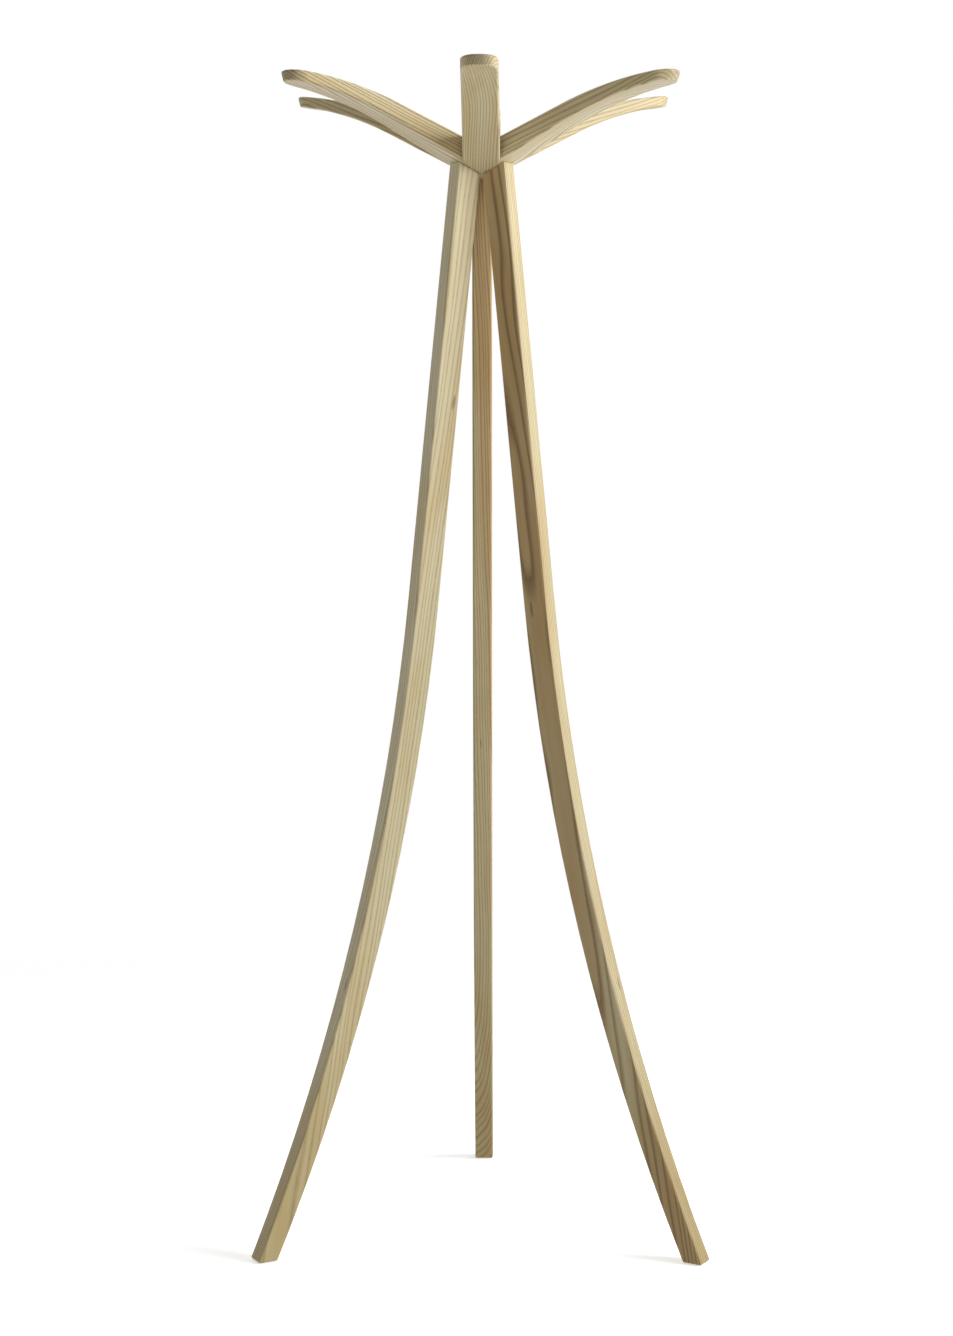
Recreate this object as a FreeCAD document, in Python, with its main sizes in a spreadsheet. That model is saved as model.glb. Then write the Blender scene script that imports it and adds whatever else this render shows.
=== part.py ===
import FreeCAD, Part
import math
import os
import re
import Sketcher
from FreeCAD import Placement, Rotation, Vector

# A standing coat rack in solid ash, modelled in millimetres.
#
# Six arms meet in a mitred star. Three legs stand under every second arm. The origin is the
# point on the floor under the middle of the star, +Z is up and the front arm points to -Y.
# Every arm and leg is drawn with its own length along +X and then turned about the Z axis.

DIMENSIONS = {
    # arms
    "arm_count": 6,
    "arm_reach": 328,  # from the rack's axis to the upper edge of an arm's tip
    "arm_hub_width": 57,  # across an arm at its hub end
    "arm_tip_flat": 3,  # flat part of the tip, between its rounded corners
    "arm_corner_radius": 25,
    "arm_tip_rake": 15,  # degrees that the tip leans in towards its lower edge
    "arm_blank_past": 8,  # the sawn blank runs on this far, before its tip is shaped
    "arm_bend_start": 150,  # the arm is straight out to here, and curved beyond
    "arm_top_slope": 21.8,  # degrees
    "arm_top_radius": 585,
    "arm_under_slope": 26,  # degrees
    "arm_under_radius": 555,
    "hub_top": 1649,  # height of the star's upper and lower faces, at the rack's axis
    "hub_underside": 1609,
    "arm_edge_radius": 3,
    # legs
    "leg_width": 30,
    "leg_depth": 38.2,
    "leg_splay": 6.365,  # degrees, of the straight upper part
    "leg_outer_bend": 985,  # height below which the outer face curves outwards
    "leg_outer_radius": 3280,
    "leg_inner_bend": 974,
    "leg_inner_radius": 3100,
    "leg_edge_radius": 3,
    "leg_top_chamfer": 0.8,
    # loose tenons across the mitres
    "tenon_thick": 8,
    "tenon_width": 18,
    "tenon_length": 20,
    "tenon_reach": 43,  # from the rack's axis, along the mitre
    "tenon_height": 1641,
    "tenon_chamfer": 0.8,
    # leg joint. Its heights are along the leg, from the joint point: the middle of the leg's
    # thickness, where it meets the underside of the arm
    "joint_reach": 28.7,  # from the rack's axis to the joint point
    "bolt_offset": 5,  # outwards from the middle of the leg
    "bolt_diameter": 8,
    "bolt_length": 50,
    "bolt_head_diameter": 13,
    "bolt_head_height": 8,
    "bolt_socket_width": 6,
    "bolt_socket_deep": 4,
    "bolt_seat": 25,  # height of the counterbore's floor
    "bolt_hole_diameter": 9,
    "counterbore_diameter": 17,
    "washer_diameter": 16,
    "washer_bore": 8.4,
    "washer_thick": 1.6,
    "insert_diameter": 12,
    "insert_length": 22,
    "insert_sunk": 1.5,  # below the joint point
    "pilot_deep": 6,  # drilled on past the insert
    "dowel_offset": -9,  # inwards from the middle of the leg
    "dowel_diameter": 8,
    "dowel_length": 40,
    "dowel_rise": 17,  # height of the dowel's upper end
    "dowel_chamfer": 0.8,
    "blind_gap": 1,  # a blind hole is this much deeper than what goes in it
    # floor glides
    "glide_reach": 372,  # from the rack's axis to a glide's middle
    "glide_diameter": 18,
    "glide_thick": 2.5,
    "glide_proud": 1,  # how far a glide stands out of its foot
    "glide_stem_diameter": 6,
    "glide_stem_length": 13,
    "glide_edge": 0.6,
    "glide_clearance": 0.25,
    # cutting shapes run this far past the wood, and a cut right through it is this long
    "cut_past": 40,
    "cut_through": 6600,
}

ARM_ANGLES = {
    "arm_front": 270,
    "arm_front_right": 330,
    "arm_back_right": 30,
    "arm_back": 90,
    "arm_back_left": 150,
    "arm_front_left": 210,
}
LEG_ANGLES = {"leg_front_right": 330, "leg_back": 90, "leg_front_left": 210}

TOLERANCE = 0.01
ANGLE_TOLERANCE = 1  # degrees
MM3_PER_CM3 = 1000
SOCKET_TURN = 15  # degrees, which keeps every corner of a bolt's socket off the sketch's axes
MITRE_ANGLE = 180 / DIMENSIONS["arm_count"]  # from an arm's centre line to its mitre
JOINT_HEIGHT = "(hub_underside + joint_reach * tan(arm_under_slope * 1 deg))"
# The height of an arm's upper face at its tip: the middle of its arc, and the arc's rise there.
ARM_ARC_HEIGHT = (
    "(hub_top + arm_bend_start * tan(arm_top_slope * 1 deg)"
    " - arm_top_radius * cos(arm_top_slope * 1 deg))"
)
ARM_ARC_REACH = "(arm_bend_start + arm_top_radius * sin(arm_top_slope * 1 deg))"
TIP_HEIGHT = f"({ARM_ARC_HEIGHT} + sqrt(arm_top_radius^2 - ({ARM_ARC_REACH} - arm_reach)^2))"

# The fixed elements of every sketch, as Sketcher numbers them, and the ends of an edge.
ORIGIN = (-1, 1)
X_AXIS = -1
Y_AXIS = -2
START = 1
END = 2
CENTRE = 3


doc = FreeCAD.newDocument("CoatRack")


def make_sheet():
    """The driving dimensions, one row each: a name, and a number with that name as its alias."""
    table = doc.addObject("Spreadsheet::Sheet", "Sizes")
    for row, (name, value) in enumerate(DIMENSIONS.items(), start=1):
        table.set(f"A{row}", name)
        table.set(f"B{row}", str(value))
        table.setAlias(f"B{row}", name)
    doc.recompute()
    return table


sheet = make_sheet()


def size(formula):
    """The present value of a formula over the sheet's aliases."""
    return float(sheet.evalExpression(formula))


def linked(formula):
    """The same formula as another object writes it, with each alias looked up in the sheet."""
    return re.sub(r"[a-z]+_[a-z_]+", lambda alias: "Sizes." + alias.group(), formula)


def new_body(name, angle):
    """An empty body, turned about the rack's axis."""
    body = doc.addObject("PartDesign::Body", name)
    body.Label = name
    body.Placement = Placement(Vector(0, 0, 0), Rotation(Vector(0, 0, 1), angle))
    return body


def new_sketch(body, name, plane):
    """A sketch on one of the body's own origin planes, named by its role."""
    sketch = body.newObject("Sketcher::SketchObject", name)
    support = next(item for item in body.Origin.OriginFeatures if item.Role == plane)
    sketch.AttachmentSupport = [(support, "")]
    sketch.MapMode = "FlatFace"
    return sketch


def line(sketch, start, end):
    """A straight edge; returns its number in the sketch."""
    return sketch.addGeometry(Part.LineSegment(Vector(*start, 0), Vector(*end, 0)), False)


def arc(sketch, centre, radius, first, last):
    """An arc from one angle anticlockwise to another, in radians; returns its number."""
    circle = Part.Circle(Vector(*centre, 0), Vector(0, 0, 1), radius)
    return sketch.addGeometry(Part.ArcOfCircle(circle, first, last), False)


def fix(sketch, kind, *where):
    """Add a constraint that has no size."""
    sketch.addConstraint(Sketcher.Constraint(kind, *where))


def bind(sketch, kind, *where, to):
    """Add a constraint and drive it from the sheet. Angles are in degrees there."""
    value = math.radians(size(to)) if kind == "Angle" else size(to)
    index = sketch.addConstraint(Sketcher.Constraint(kind, *where, value))
    unit = "1 deg" if kind == "Angle" else "1 mm"
    sketch.setExpression(f"Constraints[{index}]", f"({linked(to)}) * {unit}")


def outline(sketch, points):
    """Straight edges through the points and back to the first, joined end to end."""
    edges = [line(sketch, points[i], points[(i + 1) % len(points)]) for i in range(len(points))]
    for edge, following in zip(edges, edges[1:] + edges[:1]):
        fix(sketch, "Coincident", edge, END, following, START)
    return edges


def place(sketch, edge, end, across, up):
    """Put one end of an edge at a position given by two formulas."""
    bind(sketch, "DistanceX", *ORIGIN, edge, end, to=across)
    bind(sketch, "DistanceY", *ORIGIN, edge, end, to=up)


def half_section(sketch, corners):
    """Half the section of a turned shape: its corners, as pairs of formulas, radius first."""
    edges = outline(sketch, [(size(across), size(up)) for across, up in corners])
    for edge, (across, up) in zip(edges, corners):
        if across == "0":
            fix(sketch, "PointOnObject", edge, START, Y_AXIS)
        else:
            bind(sketch, "DistanceX", *ORIGIN, edge, START, to=across)
        bind(sketch, "DistanceY", *ORIGIN, edge, START, to=up)


def checked(feature, volume_before):
    """Recompute a feature, and stop if one that should remove wood has removed none."""
    doc.recompute()
    if volume_before and feature.Shape.Volume >= volume_before:
        raise RuntimeError(f"{feature.Label} cuts nothing")
    return feature


def extrude(body, kind, name, sketch, width):
    """Pad or pocket a profile by a width, half to each side of its plane."""
    before = body.Shape.Volume if kind == "Pocket" else 0
    feature = body.newObject("PartDesign::" + kind, name)
    feature.Profile = sketch
    feature.SideType = "Symmetric"
    feature.setExpression("Length", f"({linked(width)}) * 1 mm")
    return checked(feature, before)


def turn(body, kind, name, sketch):
    """Revolve or groove a profile a full turn about its sketch's vertical axis."""
    before = body.Shape.Volume if kind == "Groove" else 0
    feature = body.newObject("PartDesign::" + kind, name)
    feature.Profile = sketch
    feature.ReferenceAxis = (sketch, ["V_Axis"])
    feature.Angle = 360
    return checked(feature, before)


def mirror(body, name, feature):
    """Repeat a feature on the other side of the body's XZ plane."""
    copy = body.newObject("PartDesign::Mirrored", name)
    copy.Originals = [feature]
    plane = next(item for item in body.Origin.OriginFeatures if item.Role == "XZ_Plane")
    copy.MirrorPlane = (plane, [""])
    body.Tip = copy
    doc.recompute()
    return copy


def dress(body, kind, name, edges, amount):
    """Fillet or chamfer the edges of the body's shape that a test picks out."""
    base = body.Tip
    names = [f"Edge{i}" for i, edge in enumerate(base.Shape.Edges, start=1) if edges(edge)]
    feature = body.newObject("PartDesign::" + kind, name)
    feature.Base = (base, names)
    property_name = "Radius" if kind == "Fillet" else "Size"
    feature.setExpression(property_name, f"({linked(amount)}) * 1 mm")
    doc.recompute()
    return feature


# ---------------------------------------------------------------- arms


def middle_of(edge):
    """The point half way along an edge."""
    return edge.valueAt((edge.FirstParameter + edge.LastParameter) / 2)


def bent_edge(sketch, slope, bend, radius, height):
    """A straight edge from the rack's axis, up at a slope, and an arc that levels it off."""
    steep = math.radians(size(slope))
    start = (0, size(height))
    knee = (size(bend), size(height) + size(bend) * math.tan(steep))
    centre = (knee[0] + size(radius) * math.sin(steep), knee[1] - size(radius) * math.cos(steep))
    end_reach = size("arm_reach + arm_blank_past")
    level = math.acos((end_reach - centre[0]) / size(radius))
    straight = line(sketch, start, knee)
    curve = arc(sketch, centre, size(radius), level, math.pi / 2 + steep)
    fix(sketch, "Tangent", straight, END, curve, END)
    fix(sketch, "PointOnObject", straight, START, Y_AXIS)
    bind(sketch, "DistanceY", *ORIGIN, straight, START, to=height)
    bind(sketch, "Angle", straight, to=slope)
    bind(sketch, "DistanceX", *ORIGIN, straight, END, to=bend)
    bind(sketch, "Radius", curve, to=radius)
    end = (end_reach, centre[1] + size(radius) * math.sin(level))
    return straight, curve, end


def arm_side(body):
    """The arm's blank from the side: thick at the hub, thinner and nearly level at its end."""
    sketch = new_sketch(body, "Side", "XZ_Plane")
    top, top_arc, top_end = bent_edge(
        sketch, "arm_top_slope", "arm_bend_start", "arm_top_radius", "hub_top"
    )
    under, under_arc, under_end = bent_edge(
        sketch, "arm_under_slope", "arm_bend_start", "arm_under_radius", "hub_underside"
    )
    end = line(sketch, top_end, under_end)
    axis = line(sketch, (0, size("hub_underside")), (0, size("hub_top")))
    fix(sketch, "Coincident", top_arc, START, end, START)
    fix(sketch, "Coincident", under_arc, START, end, END)
    fix(sketch, "Coincident", axis, START, under, START)
    fix(sketch, "Coincident", axis, END, top, START)
    fix(sketch, "Vertical", end)
    bind(sketch, "DistanceX", *ORIGIN, end, START, to="arm_reach + arm_blank_past")
    return sketch


def arm_mitres(body):
    """What is cut from an arm's hub end, to leave the point between its two mitres."""
    sketch = new_sketch(body, "Mitres", "XY_Plane")
    past = size("arm_hub_width")
    wide = past * math.tan(math.radians(MITRE_ANGLE))
    left, top, back, bottom, right = outline(
        sketch, [(0, 0), (past, wide), (-past, wide), (-past, -wide), (past, -wide)]
    )
    fix(sketch, "Coincident", left, START, *ORIGIN)
    fix(sketch, "Horizontal", top)
    fix(sketch, "Symmetric", left, END, right, START, X_AXIS)
    fix(sketch, "Symmetric", back, START, back, END, X_AXIS)
    bind(sketch, "Angle", left, to="180 / arm_count")
    bind(sketch, "DistanceX", *ORIGIN, left, END, to="arm_hub_width")
    bind(sketch, "DistanceX", *ORIGIN, back, START, to="-arm_hub_width")
    return sketch


def arm_plan(body):
    """What is cut from round an arm, to leave its tapered sides and its raked, rounded tip.

    The sketch is level but for the tip's rake, and it meets the upper edge of the tip.
    """
    sketch = new_sketch(body, "Plan", "XY_Plane")
    rake = size("arm_tip_rake")
    sketch.AttachmentOffset = Placement(Vector(0, 0, 0), Rotation(Vector(0, 1, 0), rake))
    across = "arm_reach * (1 - cos(arm_tip_rake * 1 deg))"
    up = f"{TIP_HEIGHT} + arm_reach * sin(arm_tip_rake * 1 deg)"
    sketch.setExpression("AttachmentOffset.Base.x", f"({linked(across)}) * 1 mm")
    sketch.setExpression("AttachmentOffset.Base.z", f"({linked(up)}) * 1 mm")
    sketch.setExpression("AttachmentOffset.Rotation.Angle", linked("arm_tip_rake * 1 deg"))

    half_hub = size("arm_hub_width / 2")
    reach = size("arm_reach")
    radius = size("arm_corner_radius")
    half_flat = size("arm_tip_flat / 2")
    half_tip = half_flat + radius
    corner = reach - radius
    far = reach + half_hub
    left_side = line(sketch, (0, half_hub), (corner, half_tip))
    left_corner = arc(sketch, (corner, half_flat), radius, 0, math.pi / 2)
    tip = line(sketch, (reach, half_flat), (reach, -half_flat))
    right_corner = arc(sketch, (corner, -half_flat), radius, -math.pi / 2, 0)
    right_side = line(sketch, (corner, -half_tip), (0, -half_hub))
    frame_points = [(0, -half_hub), (0, -far), (far, -far), (far, far), (0, far), (0, half_hub)]
    frame = [line(sketch, start, end) for start, end in zip(frame_points, frame_points[1:])]

    fix(sketch, "Tangent", left_side, END, left_corner, END)
    fix(sketch, "Tangent", left_corner, START, tip, START)
    fix(sketch, "Tangent", tip, END, right_corner, END)
    fix(sketch, "Tangent", right_corner, START, right_side, START)
    for edge, following in zip([right_side] + frame, frame + [left_side]):
        fix(sketch, "Coincident", edge, END, following, START)
    for edge, kind in zip(frame, ("Vertical", "Horizontal", "Vertical", "Horizontal", "Vertical")):
        fix(sketch, kind, edge)
    fix(sketch, "PointOnObject", left_side, START, Y_AXIS)
    fix(sketch, "Symmetric", left_side, START, right_side, END, X_AXIS)
    fix(sketch, "Symmetric", tip, START, tip, END, X_AXIS)
    fix(sketch, "Equal", left_corner, right_corner)
    bind(sketch, "DistanceY", *ORIGIN, left_side, START, to="arm_hub_width / 2")
    bind(sketch, "Radius", left_corner, to="arm_corner_radius")
    bind(sketch, "DistanceY", tip, END, tip, START, to="arm_tip_flat")
    bind(sketch, "DistanceX", *ORIGIN, tip, START, to="arm_reach")
    place(sketch, frame[2], START, "arm_reach + arm_hub_width / 2", "-arm_reach - arm_hub_width / 2")
    bind(sketch, "DistanceY", *ORIGIN, frame[2], END, to="arm_reach + arm_hub_width / 2")
    return sketch


def is_arm_rim(edge):
    """True for the edges round an arm's upper and lower faces, but not those of its mitres."""
    along = edge.tangentAt((edge.FirstParameter + edge.LastParameter) / 2)
    middle = middle_of(edge)
    most_tilted = math.radians(size("arm_tip_rake") + ANGLE_TOLERANCE)
    between_sides = abs(along.z) > math.cos(most_tilted)
    mitre_slope = math.tan(math.radians(MITRE_ANGLE))
    on_mitre = abs(abs(middle.y) - middle.x * mitre_slope) < TOLERANCE
    across_bend = abs(middle.x - size("arm_bend_start")) < TOLERANCE
    return not between_sides and not on_mitre and not across_bend


def cut_mortises(body):
    """A slot in each mitre face for half of a loose tenon."""
    sketch = new_sketch(body, "Mortise", "XZ_Plane")
    sketch.AttachmentOffset = Placement(
        Vector(0, 0, 0), Rotation(Vector(0, 1, 0), MITRE_ANGLE)
    )
    slot(sketch, "tenon_reach", "tenon_height")
    cut = extrude(body, "Pocket", "MortiseCut", sketch, "tenon_length")
    mirror(body, "MortisePair", cut)


def slot(sketch, across, up):
    """A level slot with round ends, as wide and thick as a loose tenon."""
    radius = size("tenon_thick / 2")
    half_run = size("tenon_width / 2") - radius
    x = size(across)
    y = size(up)
    upper = line(sketch, (x + half_run, y + radius), (x - half_run, y + radius))
    near_end = arc(sketch, (x - half_run, y), radius, math.pi / 2, 3 * math.pi / 2)
    lower = line(sketch, (x - half_run, y - radius), (x + half_run, y - radius))
    far_end = arc(sketch, (x + half_run, y), radius, -math.pi / 2, math.pi / 2)
    fix(sketch, "Tangent", upper, END, near_end, START)
    fix(sketch, "Tangent", near_end, END, lower, START)
    fix(sketch, "Tangent", lower, END, far_end, START)
    fix(sketch, "Tangent", far_end, END, upper, START)
    fix(sketch, "Horizontal", upper)
    fix(sketch, "Equal", near_end, far_end)
    bind(sketch, "Radius", near_end, to="tenon_thick / 2")
    place(sketch, near_end, CENTRE, f"{across} - (tenon_width - tenon_thick) / 2", up)
    bind(sketch, "DistanceX", near_end, CENTRE, far_end, CENTRE, to="tenon_width - tenon_thick")


# ---------------------------------------------------------------- leg joint


def joint_sketch(body, name, offset):
    """A sketch whose vertical axis runs along a leg, at an offset from the leg's middle."""
    sketch = new_sketch(body, name, "XZ_Plane")
    splay = size("leg_splay")
    sketch.AttachmentOffset = Placement(Vector(0, 0, 0), Rotation(Vector(0, 0, 1), splay))
    across = f"joint_reach + {offset} * cos(leg_splay * 1 deg)"
    up = f"{JOINT_HEIGHT} + {offset} * sin(leg_splay * 1 deg)"
    sketch.setExpression("AttachmentOffset.Base.x", f"({linked(across)}) * 1 mm")
    sketch.setExpression("AttachmentOffset.Base.y", f"({linked(up)}) * 1 mm")
    sketch.setExpression("AttachmentOffset.Rotation.Angle", linked("leg_splay * 1 deg"))
    return sketch


def joint_placement(angle, offset, height):
    """Where a turned piece of a leg joint goes: its own +Z runs up along the leg."""
    around = Placement(Vector(0, 0, 0), Rotation(Vector(0, 0, 1), angle))
    joint = Vector(size("joint_reach"), 0, size(JOINT_HEIGHT))
    lean = Placement(joint, Rotation(Vector(0, 1, 0), -size("leg_splay")))
    along = Placement(Vector(size(offset), 0, size(height)), Rotation())
    return around * lean * along


def cut_arm_joint(body):
    """The bolt's hole and counterbore, from above, and the upper half of the dowel's hole."""
    bolt = joint_sketch(body, "BoltHole", "bolt_offset")
    half_section(bolt, [
        ("0", "-cut_past"),
        ("bolt_hole_diameter / 2", "-cut_past"),
        ("bolt_hole_diameter / 2", "bolt_seat"),
        ("counterbore_diameter / 2", "bolt_seat"),
        ("counterbore_diameter / 2", "bolt_seat + cut_past"),
        ("0", "bolt_seat + cut_past"),
    ])
    turn(body, "Groove", "BoltBore", bolt)
    dowel = joint_sketch(body, "DowelHole", "dowel_offset")
    half_section(dowel, [
        ("0", "-cut_past"),
        ("dowel_diameter / 2", "-cut_past"),
        ("dowel_diameter / 2", "dowel_rise + blind_gap"),
        ("0", "dowel_rise + blind_gap"),
    ])
    turn(body, "Groove", "DowelBore", dowel)


def cut_leg_joint(body):
    """The insert's hole, the pilot hole under it, and the lower half of the dowel's hole."""
    insert = joint_sketch(body, "InsertHole", "bolt_offset")
    half_section(insert, [
        ("0", "-insert_sunk - insert_length - pilot_deep"),
        ("bolt_hole_diameter / 2", "-insert_sunk - insert_length - pilot_deep"),
        ("bolt_hole_diameter / 2", "-insert_sunk - insert_length"),
        ("insert_diameter / 2", "-insert_sunk - insert_length"),
        ("insert_diameter / 2", "cut_past"),
        ("0", "cut_past"),
    ])
    turn(body, "Groove", "InsertBore", insert)
    dowel = joint_sketch(body, "DowelHole", "dowel_offset")
    half_section(dowel, [
        ("0", "dowel_rise - dowel_length - blind_gap"),
        ("dowel_diameter / 2", "dowel_rise - dowel_length - blind_gap"),
        ("dowel_diameter / 2", "cut_past"),
        ("0", "cut_past"),
    ])
    turn(body, "Groove", "DowelBore", dowel)


# ---------------------------------------------------------------- legs


def swept_edge(sketch, side, bend, radius):
    """A leg's outer (side 1) or inner (side -1) edge: straight above its bend, curved below."""
    splay = math.radians(size("leg_splay"))
    joint = Vector(size("joint_reach"), size(JOINT_HEIGHT), 0)
    lean = math.tan(splay)
    middle_at_knee = joint.x + (joint.y - size(bend)) * lean
    knee = (middle_at_knee + side * size("leg_depth") / 2 / math.cos(splay), size(bend))
    centre = (knee[0] + size(radius) * math.cos(splay), knee[1] + size(radius) * math.sin(splay))
    floor_angle = math.pi + math.asin((centre[1] - size("glide_proud")) / size(radius))
    foot_x = centre[0] + size(radius) * math.cos(floor_angle)

    rise = math.tan(math.radians(size("arm_under_slope")))
    top_y = (joint.y + rise * (knee[0] + knee[1] * lean - joint.x)) / (1 + rise * lean)
    top = (knee[0] - (top_y - knee[1]) * lean, top_y)
    straight = line(sketch, top, knee)
    curve = arc(sketch, centre, size(radius), math.pi + splay, floor_angle)
    fix(sketch, "Tangent", straight, END, curve, START)
    bind(sketch, "DistanceY", *ORIGIN, straight, END, to=bend)
    bind(sketch, "Radius", curve, to=radius)
    return straight, curve, top, (foot_x, size("glide_proud"))


def leg_side(body):
    """The leg seen from the side: a straight upper part, a sweep outwards, and a level foot."""
    sketch = new_sketch(body, "Side", "XZ_Plane")
    outer, outer_arc, outer_top, outer_foot = swept_edge(
        sketch, 1, "leg_outer_bend", "leg_outer_radius"
    )
    inner, inner_arc, inner_top, inner_foot = swept_edge(
        sketch, -1, "leg_inner_bend", "leg_inner_radius"
    )
    top = line(sketch, outer_top, inner_top)
    foot = line(sketch, outer_foot, inner_foot)
    joint = sketch.addGeometry(
        Part.Point(Vector(size("joint_reach"), size(JOINT_HEIGHT), 0)), False
    )
    sketch.setConstruction(joint, True)
    fix(sketch, "Coincident", outer, START, top, START)
    fix(sketch, "Coincident", inner, START, top, END)
    fix(sketch, "Coincident", outer_arc, END, foot, START)
    fix(sketch, "Coincident", inner_arc, END, foot, END)
    fix(sketch, "Horizontal", foot)
    fix(sketch, "Parallel", outer, inner)
    place(sketch, joint, START, "joint_reach", JOINT_HEIGHT)
    fix(sketch, "PointOnObject", joint, START, top)
    bind(sketch, "DistanceY", *ORIGIN, foot, START, to="glide_proud")
    bind(sketch, "Distance", joint, START, outer, to="leg_depth / 2")
    bind(sketch, "Distance", joint, START, inner, to="leg_depth / 2")
    bind(sketch, "Angle", outer, to="leg_splay - 90")
    bind(sketch, "Angle", top, to="arm_under_slope - 180")
    return sketch


def is_leg_edge(edge):
    """True for the four long edges of a leg and the edges round the foot, not the top's."""
    point = middle_of(edge)
    on_side = abs(abs(point.y) - size("leg_width / 2")) < TOLERANCE
    at_top = point.z > size("hub_underside")
    at_foot = abs(point.z - size("glide_proud")) < TOLERANCE
    return at_foot or (on_side and not at_top)


def is_leg_top_edge(edge):
    """True for the edges round a leg's sloped top."""
    slope = math.tan(math.radians(size("arm_under_slope")))
    point = middle_of(edge)
    return abs(point.z - size("hub_underside") - point.x * slope) < TOLERANCE


def cut_glide_seat(body):
    """The recess and stem hole of a floor glide, from below."""
    sketch = new_sketch(body, "GlideSeat", "XZ_Plane")
    sketch.setExpression("AttachmentOffset.Base.x", linked("glide_reach") + " * 1 mm")
    half_section(sketch, [
        ("0", "-cut_past"),
        ("glide_diameter / 2 + glide_clearance", "-cut_past"),
        ("glide_diameter / 2 + glide_clearance", "glide_thick"),
        ("glide_stem_diameter / 2", "glide_thick"),
        ("glide_stem_diameter / 2", "glide_thick + glide_stem_length + blind_gap"),
        ("0", "glide_thick + glide_stem_length + blind_gap"),
    ])
    turn(body, "Groove", "GlideBore", sketch)


# ---------------------------------------------------------------- the separate pieces


def arm(name, angle):
    """One arm of the star. An arm over a leg is also bored for the leg's bolt and dowel."""
    body = new_body(name, angle)
    extrude(body, "Pad", "Board", arm_side(body), "arm_hub_width")
    extrude(body, "Pocket", "MitreCut", arm_mitres(body), "cut_through")
    extrude(body, "Pocket", "PlanCut", arm_plan(body), "cut_through")
    dress(body, "Fillet", "Rim", is_arm_rim, "arm_edge_radius")
    cut_mortises(body)
    if angle in LEG_ANGLES.values():
        cut_arm_joint(body)
    return body


def leg(name, angle):
    """One leg, with the holes in its top for the insert and dowel, and a glide's seat."""
    body = new_body(name, angle)
    extrude(body, "Pad", "Board", leg_side(body), "leg_width")
    dress(body, "Fillet", "LongEdges", is_leg_edge, "leg_edge_radius")
    dress(body, "Chamfer", "TopEdges", is_leg_top_edge, "leg_top_chamfer")
    cut_leg_joint(body)
    cut_glide_seat(body)
    return body


def tenon(name, angle):
    """A loose tenon: a level slip of wood with round edges, across one mitre."""
    body = new_body(name, angle)
    sketch = new_sketch(body, "Section", "XZ_Plane")
    slot(sketch, "tenon_reach", "tenon_height")
    extrude(body, "Pad", "Slip", sketch, "tenon_length")
    half_length = size("tenon_length / 2")
    dress(
        body,
        "Chamfer",
        "Ends",
        lambda edge: abs(abs(middle_of(edge).y) - half_length) < TOLERANCE,
        "tenon_chamfer",
    )
    return body


def turned_piece(name, placement, corners):
    """A piece made by turning half a section about its own vertical axis."""
    body = new_body(name, 0)
    sketch = new_sketch(body, "Section", "XZ_Plane")
    half_section(sketch, corners)
    turn(body, "Revolution", "Turned", sketch)
    body.Placement = placement
    return body


def dowel(name, angle):
    """The locating dowel beside one leg's bolt, with chamfered ends."""
    return turned_piece(name, joint_placement(angle, "dowel_offset", "dowel_rise - dowel_length"), [
        ("0", "0"),
        ("dowel_diameter / 2 - dowel_chamfer", "0"),
        ("dowel_diameter / 2", "dowel_chamfer"),
        ("dowel_diameter / 2", "dowel_length - dowel_chamfer"),
        ("dowel_diameter / 2 - dowel_chamfer", "dowel_length"),
        ("0", "dowel_length"),
    ])


def bolt(name, angle):
    """A socket-head bolt, hanging from the underside of its head."""
    placement = joint_placement(angle, "bolt_offset", "bolt_seat + washer_thick")
    body = turned_piece(name, placement, [
        ("0", "-bolt_length"),
        ("bolt_diameter / 2", "-bolt_length"),
        ("bolt_diameter / 2", "0"),
        ("bolt_head_diameter / 2", "0"),
        ("bolt_head_diameter / 2", "bolt_head_height"),
        ("0", "bolt_head_height"),
    ])
    sketch = new_sketch(body, "Socket", "XY_Plane")
    corners = 6
    formulas = []
    for corner in range(corners):
        turned = f"{360 / corners * corner + SOCKET_TURN} * 1 deg"
        formulas.append((
            f"bolt_socket_width / sqrt(3) * cos({turned})",
            f"bolt_socket_width / sqrt(3) * sin({turned})",
        ))
    edges = outline(sketch, [(size(across), size(up)) for across, up in formulas])
    for edge, (across, up) in zip(edges, formulas):
        place(sketch, edge, START, across, up)
    sketch.setExpression("AttachmentOffset.Base.z", linked("bolt_head_height") + " * 1 mm")
    extrude(body, "Pocket", "SocketCut", sketch, "bolt_socket_deep * 2")
    return body


def washer(name, angle):
    """The plain washer under a bolt's head."""
    return turned_piece(name, joint_placement(angle, "bolt_offset", "bolt_seat"), [
        ("washer_bore / 2", "0"),
        ("washer_diameter / 2", "0"),
        ("washer_diameter / 2", "washer_thick"),
        ("washer_bore / 2", "washer_thick"),
    ])


def insert(name, angle):
    """The sleeve in the top of a leg that a bolt screws into."""
    placement = joint_placement(angle, "bolt_offset", "-insert_sunk - insert_length")
    return turned_piece(name, placement, [
        ("bolt_diameter / 2", "0"),
        ("insert_diameter / 2", "0"),
        ("insert_diameter / 2", "insert_length"),
        ("bolt_diameter / 2", "insert_length"),
    ])


def glide(name, angle):
    """A push-in floor glide: a flat disc with a softened rim, and a stem up into the foot."""
    around = Placement(Vector(0, 0, 0), Rotation(Vector(0, 0, 1), angle))
    return turned_piece(name, around * Placement(Vector(size("glide_reach"), 0, 0), Rotation()), [
        ("0", "0"),
        ("glide_diameter / 2 - glide_edge", "0"),
        ("glide_diameter / 2", "glide_edge"),
        ("glide_diameter / 2", "glide_thick"),
        ("glide_stem_diameter / 2", "glide_thick"),
        ("glide_stem_diameter / 2", "glide_thick + glide_stem_length"),
        ("0", "glide_thick + glide_stem_length"),
    ])


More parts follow.
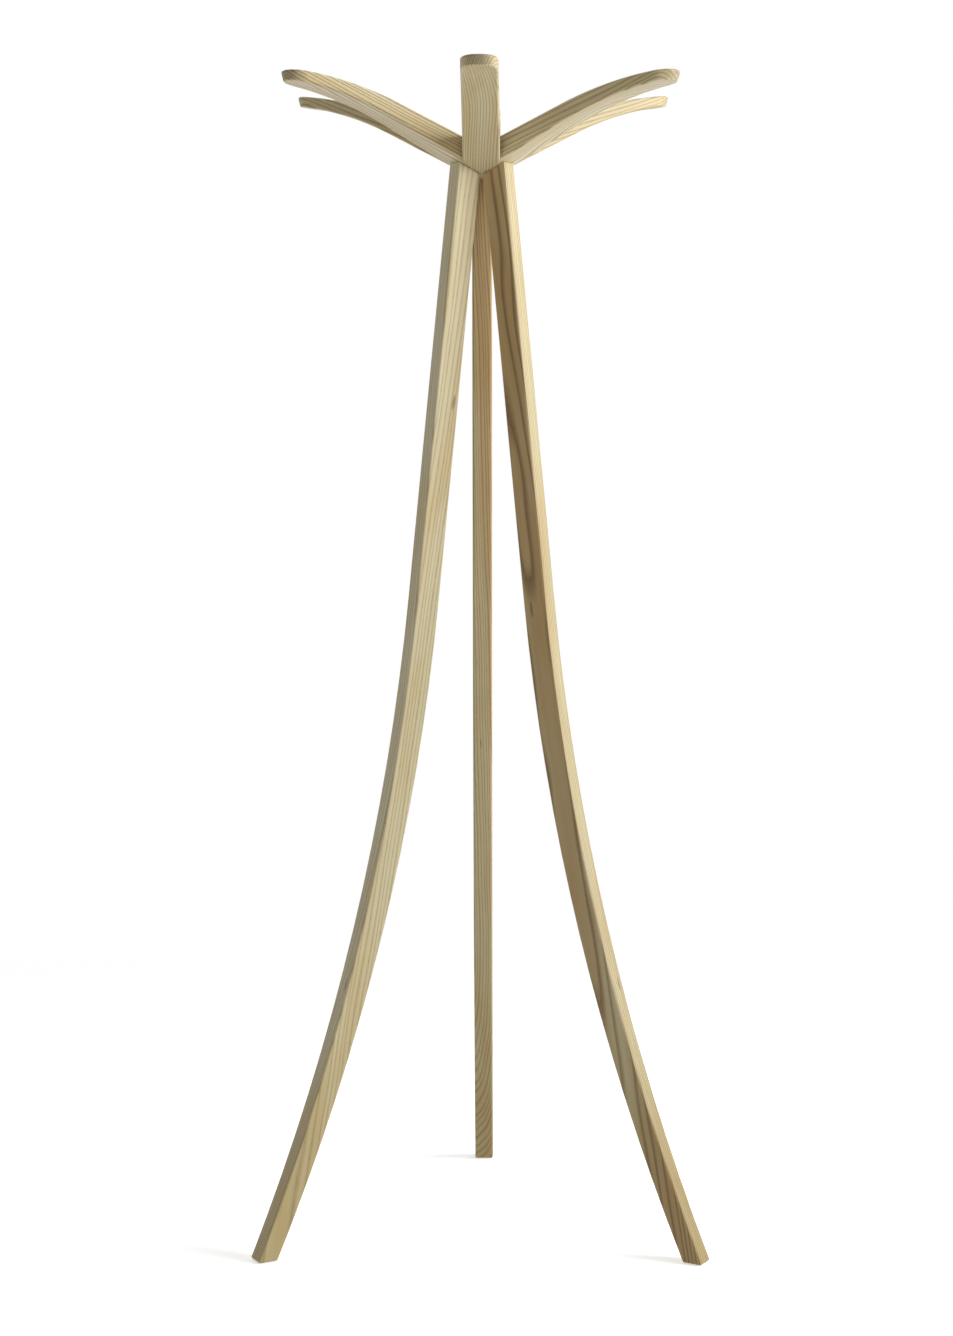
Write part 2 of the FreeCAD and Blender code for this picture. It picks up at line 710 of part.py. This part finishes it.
def group(name, make):
    """Identical fasteners, one for each leg, as separate solids in one compound."""
    members = [make(f"{name}_{angle}", angle) for angle in LEG_ANGLES.values()]
    compound = doc.addObject("Part::Compound", name)
    compound.Label = name
    compound.Links = members
    doc.recompute()
    return compound


def build():
    """Make every piece, and return those that are written out, one for each node."""
    pieces = [arm(name, angle) for name, angle in ARM_ANGLES.items()]
    pieces += [leg(name, angle) for name, angle in LEG_ANGLES.items()]
    for name, angle in ARM_ANGLES.items():
        pieces.append(tenon(name.replace("arm", "tenon_after"), angle + MITRE_ANGLE))
    for name, angle in LEG_ANGLES.items():
        pieces.append(dowel(name.replace("leg", "dowel"), angle))
        pieces.append(glide(name.replace("leg", "glide"), angle))
    pieces.append(group("leg_bolts", bolt))
    pieces.append(group("leg_bolt_washers", washer))
    pieces.append(group("leg_inserts", insert))
    return pieces


def check(pieces):
    """Stop unless every object recomputed well and every piece is a valid solid."""
    for item in doc.Objects:
        if "Invalid" in item.State or "Error" in item.State:
            raise RuntimeError(f"{item.Label} failed: {item.State}")
        if item.TypeId == "Sketcher::SketchObject" and not item.FullyConstrained:
            raise RuntimeError(f"{item.Label} is not fully constrained")
    for piece in pieces:
        if piece.Shape.isNull() or not piece.Shape.isValid() or not piece.Shape.Solids:
            raise RuntimeError(f"{piece.Label} is not a valid solid")


doc.recompute()
pieces = build()
doc.recompute()
check(pieces)
os.makedirs("parts", exist_ok=True)
for piece in pieces:
    piece.Shape.exportStep(f"parts/{piece.Label}.step")
    box = piece.Shape.BoundBox
    volume = piece.Shape.Volume / MM3_PER_CM3
    print(f"{piece.Label}: {len(piece.Shape.Solids)} solid(s), {volume:.1f} cm3, "
          f"z {box.ZMin:.1f} to {box.ZMax:.1f}")
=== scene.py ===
import math

import bpy
from mathutils import Matrix, Vector

# The standing coat rack's looks, in metres: ash boards, hidden joinery, studio and camera.

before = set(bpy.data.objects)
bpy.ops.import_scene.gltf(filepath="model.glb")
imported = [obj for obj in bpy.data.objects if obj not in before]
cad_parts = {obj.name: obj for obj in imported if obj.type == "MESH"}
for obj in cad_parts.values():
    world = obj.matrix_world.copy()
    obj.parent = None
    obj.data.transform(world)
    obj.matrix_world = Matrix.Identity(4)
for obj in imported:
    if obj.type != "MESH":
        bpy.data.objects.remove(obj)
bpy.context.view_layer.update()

# Each arm's and leg's direction from the rack's axis, in degrees about Z. The front is -Y.
DIRECTIONS = {
    "arm_front": 270,
    "arm_front_right": 330,
    "arm_back_right": 30,
    "arm_back": 90,
    "arm_back_left": 150,
    "arm_front_left": 210,
    "leg_front_right": 330,
    "leg_back": 90,
    "leg_front_left": 210,
}

# on the legs that brown heartwood is partly painted shade, put on faces that the lights reach least
# How each board was sawn from its log, one board to an arm or leg. Left is the left of someone
# looking outwards from the rack, and the lengths are in metres from the middle of the board.
#   slope: the grain's angle above level, in degrees
#   drift: the grain's run towards the left of the board, in degrees
#   pith: the middle of the log, to the left and then upwards on an arm or inwards on a leg
#   ring: one year's growth
#   heart_and_shade: where the brown heartwood ends, to the left; it fills what lies to the right of that
#   tone: from 0, cream, to 1, tan
#   figure: how strongly the rings show
ALL_SAPWOOD = -0.1  # a heart far to the right of any board, so that none of it shows
BOARDS = {
    "arm_front": dict(
        slope=24, drift=0.4, pith=(0.100, -0.070), ring=0.0034, heart_and_shade=ALL_SAPWOOD, tone=0.45, figure=1.2
    ),
    "arm_front_right": dict(
        slope=22, drift=-0.5, pith=(0.060, 0.110), ring=0.0046, heart_and_shade=ALL_SAPWOOD, tone=0.30, figure=1.2
    ),
    "arm_back_right": dict(
        slope=19, drift=1.5, pith=(-0.050, 0.070), ring=0.0050, heart_and_shade=ALL_SAPWOOD, tone=0.50, figure=1.1
    ),
    "arm_back": dict(
        slope=23, drift=-0.6, pith=(0.090, -0.060), ring=0.0038, heart_and_shade=ALL_SAPWOOD, tone=0.30, figure=1.2
    ),
    "arm_back_left": dict(
        slope=22, drift=0.5, pith=(-0.070, 0.090), ring=0.0042, heart_and_shade=ALL_SAPWOOD, tone=0.45, figure=1.2
    ),
    "arm_front_left": dict(
        slope=23, drift=0.3, pith=(0.070, 0.120), ring=0.0048, heart_and_shade=ALL_SAPWOOD, tone=0.60, figure=1.7
    ),
    # The front-right leg's heartwood browns its side that faces away from the key light: partly painted
    # shade.
    "leg_front_right": dict(
        slope=100, drift=0.2, pith=(-0.160, 0.030), ring=0.0044, heart_and_shade=-0.0135, tone=0.50, figure=1.4
    ),
    # The back leg's heartwood browns part of its inner face, which the front legs shade: partly painted
    # shade.
    "leg_back": dict(
        slope=100, drift=1.5, pith=(0.060, 0.040), ring=0.0044, heart_and_shade=-0.008, tone=0.85, figure=1.1
    ),
    "leg_front_left": dict(
        slope=100, drift=0.4, pith=(0.070, -0.060), ring=0.0054, heart_and_shade=ALL_SAPWOOD, tone=0.35, figure=0.8
    ),
}
# The middle of an arm and of a leg: outwards from the rack's axis, and up from the floor.
BOARD_MIDDLES = {"arm": (0.17, 1.68), "leg": (0.15, 0.85)}
DARKER_FEET_UP_TO = 0.45  # the height where the feet's darker, yellower colour has faded out

# The square soft boxes: direction in degrees about Z as above, height, distance and width in metres,
# power in watts.
LIGHTS = {
    "key": dict(direction=-12, height=2.5, distance=3.0, width=1.6, power=113, colour=(1.0, 0.99, 0.965)),
    "front": dict(direction=-108, height=1.2, distance=3.6, width=2.0, power=24, colour=(1.0, 0.98, 0.94)),
    "top": dict(direction=0, height=3.9, distance=0.4, width=2.0, power=22, colour=(1.0, 1.0, 1.0)),
    "fill": dict(direction=180, height=1.3, distance=3.2, width=1.8, power=3, colour=(0.80, 0.88, 1.0)),
}
LIGHTS_AIM = Vector((0, 0, 1.0))
WHITE = (1.0, 1.0, 1.0, 1.0)


def rgb(red, green, blue):
    """A colour given in 0-255 display values, as the linear colour that nodes take."""
    return tuple((value / 255) ** 2.2 for value in (red, green, blue)) + (1.0,)


def between_colours(share, first, second):
    """A fixed colour from first to second, by a share from 0 to 1."""
    return tuple(a + (b - a) * share for a, b in zip(first, second))


class Graph:
    """A node tree, with short calls for the nodes that a look is made of."""

    def __init__(self, tree):
        self.tree = tree

    def feed(self, socket, value):
        if isinstance(value, bpy.types.NodeSocket):
            self.tree.links.new(value, socket)
        else:
            socket.default_value = value

    def node(self, kind, inputs, **settings):
        made = self.tree.nodes.new(kind)
        for name, value in settings.items():
            setattr(made, name, value)
        for name, value in inputs.items():
            self.feed(made.inputs[name], value)
        return made

    def place(self):
        """The point being shaded, in the object's own metres."""
        return self.node("ShaderNodeTexCoord", {}).outputs["Object"]

    def facing(self, direction):
        """How squarely the surface faces a direction or its opposite, from 0 to 1."""
        normal = self.node("ShaderNodeTexCoord", {}).outputs["Normal"]
        product = self.node("ShaderNodeVectorMath", {0: normal, 1: direction}, operation="DOT_PRODUCT")
        return self.math("ABSOLUTE", product.outputs["Value"])

    def math(self, operation, a, b=0.0, c=0.0):
        inputs = {0: a, 1: b, 2: c}
        return self.node("ShaderNodeMath", inputs, operation=operation).outputs[0]

    def local(self, point, location, rotation):
        """The point as measured from a frame at this location, turned this way."""
        inputs = {"Vector": point, "Location": location, "Rotation": rotation}
        return self.node("ShaderNodeMapping", inputs, vector_type="TEXTURE").outputs[0]

    def stretch(self, point, scale, shift=(0, 0, 0)):
        inputs = {"Vector": point, "Location": shift, "Scale": scale}
        return self.node("ShaderNodeMapping", inputs).outputs[0]

    def noise(self, point, detail=2.0, roughness=0.5):
        inputs = {"Vector": point, "Scale": 1.0, "Detail": detail, "Roughness": roughness}
        return self.node("ShaderNodeTexNoise", inputs).outputs

    def split(self, vector):
        return self.node("ShaderNodeSeparateXYZ", {0: vector}).outputs

    def between(self, value, low, high, at_low=0.0, at_high=1.0, smooth=True):
        """The value's way from low to high, as a number from at_low to at_high."""
        inputs = {"Value": value, "From Min": low, "From Max": high, "To Min": at_low, "To Max": at_high}
        kind = "SMOOTHSTEP" if smooth else "LINEAR"
        return self.node("ShaderNodeMapRange", inputs, interpolation_type=kind).outputs[0]

    def shade(self, share, full):
        """How bright the colour stays: 1 where the share is 0, and full where it is 1."""
        return self.between(share, 0.0, 1.0, 1.0, full)

    def blend(self, share, first, second):
        """A colour from first to second, by a share from 0 to 1."""
        made = self.node("ShaderNodeMix", {0: share}, data_type="RGBA")
        self.feed(made.inputs[6], first)
        self.feed(made.inputs[7], second)
        return made.outputs[2]

    def tint(self, colour, by):
        return self.node("ShaderNodeVectorMath", {0: colour, 1: by}, operation="MULTIPLY").outputs[0]

    def scale_colour(self, colour, amount):
        inputs = {0: colour, "Scale": amount}
        return self.node("ShaderNodeVectorMath", inputs, operation="SCALE").outputs[0]

    def bump(self, height, strength, depth):
        inputs = {"Height": height, "Strength": strength, "Distance": depth}
        return self.node("ShaderNodeBump", inputs).outputs[0]


class Surface(Graph):
    """The node tree of a new material."""

    def __init__(self, name):
        self.material = bpy.data.materials.new(name)
        self.material.use_nodes = True
        super().__init__(self.material.node_tree)
        self.shader = self.tree.nodes["Principled BSDF"]

    def finish(self, colour, roughness, normal, **uniform):
        self.feed(self.shader.inputs["Base Color"], colour)
        self.feed(self.shader.inputs["Roughness"], roughness)
        self.feed(self.shader.inputs["Normal"], normal)
        for name, value in uniform.items():
            self.shader.inputs[name.replace("_", " ")].default_value = value
        return self.material


def board_frame(name, direction, slope, drift):
    """The middle of a board, and the turn from the rack's axes to the axes of its grain."""
    turn = math.radians(direction)
    out, up = BOARD_MIDDLES[name.split("_")[0]]
    middle = (out * math.cos(turn), out * math.sin(turn), up)
    sawn = (
        Matrix.Rotation(turn, 3, "Z")
        @ Matrix.Rotation(-math.radians(slope), 3, "Y")
        @ Matrix.Rotation(math.radians(drift), 3, "Z")
    )
    return middle, sawn


def growth_rings(graph, local, pith, ring):
    """How far through its year the wood is at each point, from 0 in spring to 1 in autumn,
    and how far to the left the point lies once the wood's own waviness is taken out."""
    waviness = (0.0, 0.016, 0.016)
    wander = graph.noise(graph.stretch(local, (2.2, 14, 14)), detail=2.0)["Color"]
    centred = graph.node("ShaderNodeVectorMath", {0: wander, 1: (0.5, 0.5, 0.5)}, operation="SUBTRACT")
    inputs = {0: centred.outputs[0], 1: waviness, 2: local}
    bent = graph.node("ShaderNodeVectorMath", inputs, operation="MULTIPLY_ADD")
    part = graph.split(bent.outputs[0])
    aside = graph.math("SUBTRACT", part["Y"], pith[0])
    above = graph.math("SUBTRACT", part["Z"], pith[1])
    squares = graph.math("ADD", graph.math("MULTIPLY", aside, aside), graph.math("MULTIPLY", above, above))
    years = graph.math("DIVIDE", graph.math("SQRT", squares), ring)
    # Good and bad years: the rings' widths vary, by up to about a year and a half in all.
    spell, most_years = 0.37, 1.6
    weather = graph.node("ShaderNodeCombineXYZ", {0: graph.math("MULTIPLY", years, spell)}).outputs[0]
    varied = graph.math("MULTIPLY_ADD", graph.noise(weather, detail=1.0)["Fac"], most_years, years)
    return graph.math("FRACT", varied), part["Y"]


def rubbed_edges(graph, side, streak):
    """How much the eased edges are rubbed, in streaks. Their normals lie between the board's
    two sides and its other faces, which are all square to the sides. So do the normals of the
    arms' rounded tips, which hands and coats rub most."""
    aslant = graph.facing(side)
    off_faces = graph.between(aslant, 0.05, 0.45)
    off_sides = graph.between(aslant, 0.75, 0.98, 1.0, 0.0)
    edge = graph.math("MULTIPLY", off_faces, off_sides)
    return graph.math("MULTIPLY", edge, graph.between(streak, 0.38, 0.62, 0.25, 1.0))


def ash_tint(graph, tone, warm, heartwood_and_shade, lines):
    """The wood's colour before fibres, pores and wear: its ground, patches, heartwood with painted shade,
    and rings.
    """
    cream, tan = rgb(222, 212, 176), rgb(196, 180, 134)
    straw, brown = rgb(160, 138, 88), rgb(138, 108, 66)
    # The heartwood colours are partly painted shade on the legs' least lit faces.
    heart_shade_pale, heart_shade_dark = rgb(192, 167, 121), rgb(124, 92, 56)
    warm_tint = (0.92, 0.85, 0.74)
    plain = graph.blend(heartwood_and_shade, between_colours(tone, cream, tan), heart_shade_pale)
    ground = graph.blend(warm, plain, graph.tint(plain, warm_tint))
    late = graph.blend(heartwood_and_shade, between_colours(tone, straw, brown), heart_shade_dark)
    return graph.blend(lines, ground, late)


def ash(name, direction, slope, drift, pith, ring, heart_and_shade, tone, figure):
    """Clear-finished ash, cut from the log so that its grain runs along one board of the rack."""
    graph = Surface("ash_" + name)
    middle, sawn = board_frame(name, direction, slope, drift)
    side = Matrix.Rotation(math.radians(direction), 3, "Z") @ Vector((0, 1, 0))
    grain = sawn @ Vector((1, 0, 0))
    local = graph.local(graph.place(), middle, sawn.to_euler())

    # Spring wood is a porous dark line that fades into the dense wood of the year.
    year, to_the_left = growth_rings(graph, local, pith, ring)
    spring = graph.between(year, 0.0, 0.45, 1.0, 0.0)
    autumn = graph.between(year, 0.82, 1.0, 0.0, 0.7)
    line = graph.math("MAXIMUM", spring, autumn)

    # Fine fibres and the open pores between them, long along the grain.
    fibre = graph.noise(graph.stretch(local, (16, 1500, 1500)), detail=3.0, roughness=0.6)["Fac"]
    streak = graph.noise(graph.stretch(local, (3.0, 230, 230)), detail=3.0, roughness=0.55)["Fac"]
    pore_noise = graph.noise(graph.stretch(local, (90, 2600, 2600)), detail=1.0)["Fac"]
    pore = graph.math("MULTIPLY", graph.between(pore_noise, 0.56, 0.66), spring)

    # Broad changes of colour along and across the board. Its tone also shifts them.
    patch = graph.noise(graph.stretch(local, (4.5, 30, 30), shift=(tone, 0, 0)), detail=2.0)["Fac"]
    warm = graph.between(patch, 0.36, 0.68)
    # Heartwood, partly painted shade: on the legs it browns faces that the lights reach least.
    heartwood_and_shade = graph.between(to_the_left, heart_and_shade - 0.002, heart_and_shade + 0.002, 1.0, 0.0)

    # A few pin knots.
    knot_place = graph.stretch(local, (5, 26, 26), shift=(0, tone, 0))
    knot_cells = graph.node("ShaderNodeTexVoronoi", {"Vector": knot_place, "Scale": 1.0})
    knot = graph.between(knot_cells.outputs["Distance"], 0.03, 0.085, 1.0, 0.0)

    # End grain drinks the finish and turns darker, and rubbed edges are paler and smoother.
    end_grain = graph.between(graph.facing(grain), 0.3, 0.8)
    rubbed = rubbed_edges(graph, side, streak)

    # The legs turn a little darker and yellower towards the feet.
    line_strength = 0.55
    foot_tint = (0.84, 0.78, 0.62)
    lines = graph.math("MULTIPLY", line, line_strength * figure)
    ringed = ash_tint(graph, tone, warm, heartwood_and_shade, lines)
    low = graph.between(graph.split(graph.place())["Z"], 0.0, DARKER_FEET_UP_TO, 1.0, 0.0)
    colour = graph.blend(low, ringed, graph.tint(ringed, foot_tint))
    shades = (
        graph.between(streak, 0.25, 0.75, 1.06, 0.94, smooth=False),
        graph.between(fibre, 0.2, 0.8, 1.05, 0.95, smooth=False),
        graph.shade(pore, 0.62),
        graph.shade(knot, 0.55),
        graph.shade(end_grain, 0.66),
        graph.shade(rubbed, 1.07),
    )
    for shade in shades:
        colour = graph.scale_colour(colour, shade)

    roughness = graph.math("MULTIPLY_ADD", line, 0.10, 0.44)
    for share, added in ((fibre, 0.08), (end_grain, 0.14), (rubbed, -0.07)):
        roughness = graph.math("MULTIPLY_ADD", share, added, roughness)
    height = graph.math("MULTIPLY_ADD", fibre, 0.35, graph.math("MULTIPLY", line, -0.3))
    height = graph.math("MULTIPLY_ADD", pore, -0.8, height)
    normal = graph.bump(height, strength=0.5, depth=0.0002)
    return graph.finish(colour, roughness, normal, Coat_Weight=0.25, Coat_Roughness=0.35)


def beech(name):
    """Plain beech, for the loose tenons and dowels inside the joints."""
    graph = Surface(name)
    local = graph.place()
    fleck_noise = graph.noise(graph.stretch(local, (900, 900, 160)), detail=1.0)["Fac"]
    fleck = graph.between(fleck_noise, 0.58, 0.68)
    fibre = graph.noise(graph.stretch(local, (700, 700, 30)), detail=3.0)["Fac"]
    pinkish = graph.blend(fibre, rgb(214, 178, 138), rgb(188, 146, 106))
    colour = graph.blend(graph.math("MULTIPLY", fleck, 0.5), pinkish, rgb(150, 106, 72))
    roughness = graph.math("MULTIPLY_ADD", fibre, 0.12, 0.52)
    height = graph.math("MULTIPLY_ADD", fleck, -0.4, fibre)
    return graph.finish(colour, roughness, graph.bump(height, strength=0.35, depth=0.0002))


def turned_metal(name, bright, dull, roughness):
    """Machined metal: fine tool marks around the part, and a thin uneven tarnish."""
    graph = Surface(name)
    local = graph.place()
    marks = graph.noise(graph.stretch(local, (60, 60, 5200)), detail=2.0)["Fac"]
    tarnish_noise = graph.noise(graph.stretch(local, (140, 140, 140)), detail=4.0)["Fac"]
    tarnish = graph.between(tarnish_noise, 0.42, 0.70)
    colour = graph.blend(graph.math("MULTIPLY", tarnish, 0.7), bright, dull)
    rough = graph.math("MULTIPLY_ADD", marks, 0.12, roughness)
    rough = graph.math("MULTIPLY_ADD", tarnish, 0.14, rough)
    normal = graph.bump(marks, strength=0.4, depth=0.00005)
    return graph.finish(colour, rough, normal, Metallic=1.0)


def nylon(name):
    """Matt off-white nylon, scuffed grey where it slides on the floor."""
    graph = Surface(name)
    local = graph.place()
    speckle = graph.noise(graph.stretch(local, (1800, 1800, 1800)), detail=2.0)["Fac"]
    scuff_noise = graph.noise(graph.stretch(local, (420, 90, 420)), detail=4.0, roughness=0.65)["Fac"]
    low = graph.between(graph.split(local)["Z"], 0.0002, 0.0022, 1.0, 0.0)
    scuff = graph.math("MULTIPLY", graph.between(scuff_noise, 0.46, 0.66), low)
    plain = graph.blend(speckle, rgb(226, 222, 212), rgb(208, 203, 192))
    colour = graph.blend(graph.math("MULTIPLY", scuff, 0.6), plain, rgb(140, 134, 124))
    roughness = graph.math("MULTIPLY_ADD", scuff, 0.2, graph.math("MULTIPLY_ADD", speckle, 0.1, 0.42))
    height = graph.math("MULTIPLY_ADD", scuff, -0.6, speckle)
    return graph.finish(colour, roughness, graph.bump(height, strength=0.3, depth=0.0001))


def dress_nodes():
    """Gives every CAD node its material: each board its own, and the small parts one by kind."""
    by_kind = {
        "tenon": beech("beech_tenons"),
        "dowel": beech("beech_dowels"),
        "leg_bolts": turned_metal("steel_bolts", rgb(196, 198, 202), rgb(120, 122, 126), 0.28),
        "leg_bolt_washers": turned_metal("steel_washers", rgb(204, 206, 210), rgb(132, 134, 138), 0.32),
        "leg_inserts": turned_metal("brass_inserts", rgb(222, 184, 108), rgb(150, 112, 60), 0.26),
        "glide": nylon("nylon_glides"),
    }
    for name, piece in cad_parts.items():
        if name in BOARDS:
            material = ash(name, DIRECTIONS[name], **BOARDS[name])
        else:
            material = by_kind[name] if name in by_kind else by_kind[name.split("_")[0]]
        piece.data.materials.clear()
        piece.data.materials.append(material)


def floor_look(fade_from, fade_to):
    """Matt white with a glow of its own, fading out between two distances from the axis."""
    graph = Surface("studio_floor")
    place = graph.place()
    away = graph.node("ShaderNodeVectorMath", {0: place}, operation="LENGTH").outputs["Value"]
    mottle = graph.noise(graph.stretch(place, (9, 9, 9)), detail=5.0)["Fac"]
    colour = graph.blend(mottle, rgb(246, 246, 245), rgb(250, 250, 250))
    roughness = graph.math("MULTIPLY_ADD", mottle, 0.1, 0.7)
    normal = graph.bump(mottle, strength=0.05, depth=0.001)
    graph.feed(graph.shader.inputs["Alpha"], graph.between(away, fade_from, fade_to, 1.0, 0.0))
    return graph.finish(colour, roughness, normal, Emission_Strength=0.5, Emission_Color=WHITE)


def lay_floor():
    """A round white floor whose rim fades out into the white studio."""
    radius = 2.6
    sides = 96
    turns = [math.tau * i / sides for i in range(sides)]
    corners = [(radius * math.cos(turn), radius * math.sin(turn), 0.0) for turn in turns]
    mesh = bpy.data.meshes.new("floor")
    mesh.from_pydata(corners, [], [tuple(range(sides))])
    mesh.materials.append(floor_look(fade_from=radius * 0.5, fade_to=radius * 0.97))
    floor = bpy.data.objects.new("floor", mesh)
    bpy.context.scene.collection.objects.link(floor)
    floor.visible_diffuse = False  # the world's own light from below stands in for its bounce


def soft_light(name, direction, height, distance, width, power, colour):
    """A square soft box that faces the rack."""
    light = bpy.data.lights.new(name, "AREA")
    light.shape = "SQUARE"
    light.size = width
    light.energy = power
    light.color = colour
    box = bpy.data.objects.new(name, light)
    turn = math.radians(direction)
    box.location = (distance * math.cos(turn), distance * math.sin(turn), height)
    box.rotation_euler = (LIGHTS_AIM - box.location).to_track_quat("-Z", "Y").to_euler()
    bpy.context.scene.collection.objects.link(box)


def surround():
    """The studio all round. The camera sees white. The rack gets light from below, as if from
    the white floor and more of it from the right, and a glow from behind."""
    world = bpy.data.worlds.new("studio")
    world.use_nodes = True
    world.node_tree.nodes.clear()
    graph = Graph(world.node_tree)
    sky = graph.split(graph.node("ShaderNodeTexCoord", {}).outputs["Generated"])
    below = graph.between(sky["Z"], -0.15, 0.05, 1.0, 0.04)
    to_the_right = graph.between(sky["X"], -0.9, 0.9, 0.36, 0.74)
    behind = graph.between(sky["Y"], -0.1, 0.6, 0.0, 0.6)
    strength = graph.math("MULTIPLY_ADD", below, to_the_right, behind)
    lit = graph.node("ShaderNodeBackground", {"Color": WHITE, "Strength": strength})
    seen = graph.node("ShaderNodeBackground", {"Color": WHITE})
    by_camera = graph.node("ShaderNodeLightPath", {}).outputs["Is Camera Ray"]
    mix = graph.node("ShaderNodeMixShader", {0: by_camera, 1: lit.outputs[0], 2: seen.outputs[0]})
    graph.node("ShaderNodeOutputWorld", {"Surface": mix.outputs[0]})
    bpy.context.scene.world = world
    bpy.context.scene.view_settings.view_transform = "Standard"


def set_camera():
    """The camera stands in front at chest height, looking slightly down."""
    distance, height = 3.952, 1.245
    about, aim_left, down = math.radians(0.7), math.radians(0.115), math.radians(5.41)
    camera = bpy.data.cameras.new("camera")
    camera.lens = 69.9
    camera.sensor_width = 36
    stand = bpy.data.objects.new("camera", camera)
    stand.location = (distance * math.sin(about), -distance * math.cos(about), height)
    stand.rotation_euler = (math.pi / 2 - down, 0, about + aim_left)
    bpy.context.scene.collection.objects.link(stand)
    bpy.context.scene.camera = stand


dress_nodes()
lay_floor()
for light_name, settings in LIGHTS.items():
    soft_light(light_name, **settings)
surround()
set_camera()
